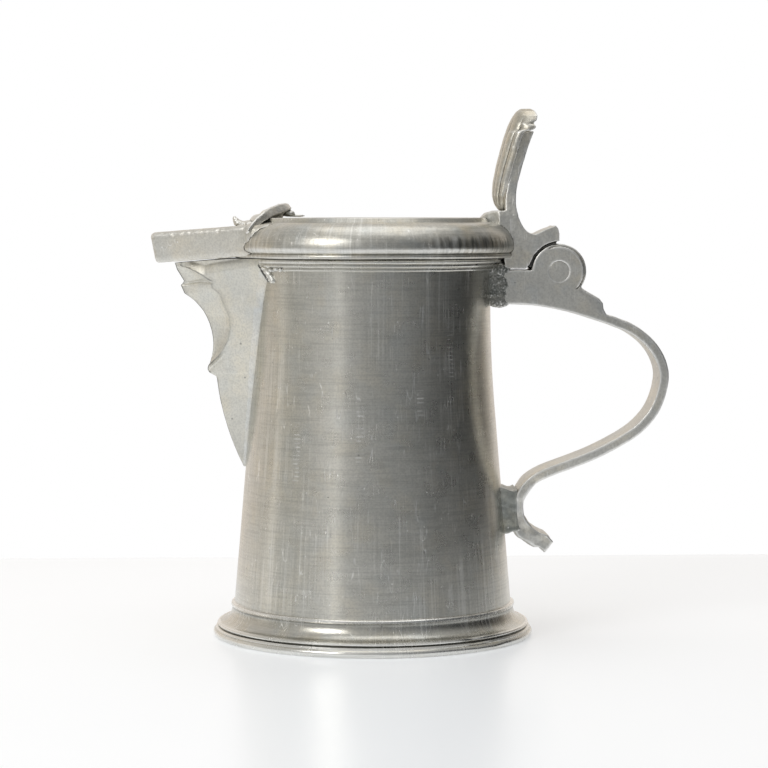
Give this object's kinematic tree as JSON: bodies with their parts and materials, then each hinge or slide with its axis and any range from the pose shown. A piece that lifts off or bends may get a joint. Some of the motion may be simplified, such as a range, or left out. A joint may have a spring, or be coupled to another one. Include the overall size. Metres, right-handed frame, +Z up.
{
  "type": "lidded pewter measure",
  "caption": "Lidded pewter measure: tapered drum on a moulded foot, V-shaped beak with a matching cover on the hinged lid, fluted thumbpiece and strap handle.",
  "frame": {"origin": "on the drum's axis in the plane that the foot rests on", "axes": "+Z up along the drum, +X towards the handle, so the beak points along -X; +Y across"},
  "size_m": [0.1943, 0.1208, 0.198],
  "materials": {
    "turned_pewter": "turned and worn pewter, satin",
    "cast_pewter": "cast and scraped pewter, matte",
    "solder": "rough soft solder, dull"
  },
  "bodies": {
    "vessel": {"drum": "turned_pewter", "base_plate": "turned_pewter", "foot_ring": "turned_pewter", "mouth_ring": "turned_pewter", "beak_left": "cast_pewter", "beak_right": "cast_pewter", "beak_solder_left": "solder", "beak_solder_right": "solder", "handle": "cast_pewter", "upper_solder": "solder", "lower_solder": "solder", "hinge_pin": "cast_pewter", "pin_plug_near": "cast_pewter", "pin_plug_far": "cast_pewter"},
    "lid": {"lid_shell": "turned_pewter", "lid_bezel": "turned_pewter", "beak_cover": "cast_pewter", "cover_leaf": "cast_pewter", "hinge_bracket": "cast_pewter", "thumbpiece": "cast_pewter"}
  },
  "joints": [
    {"name": "lid_hinge", "type": "hinge", "parent": "vessel", "child": "lid", "pos_m": [0.0696, 0, 0.1372], "axis": [0, 1, 0], "range_deg": [0, 115]}
  ]
}
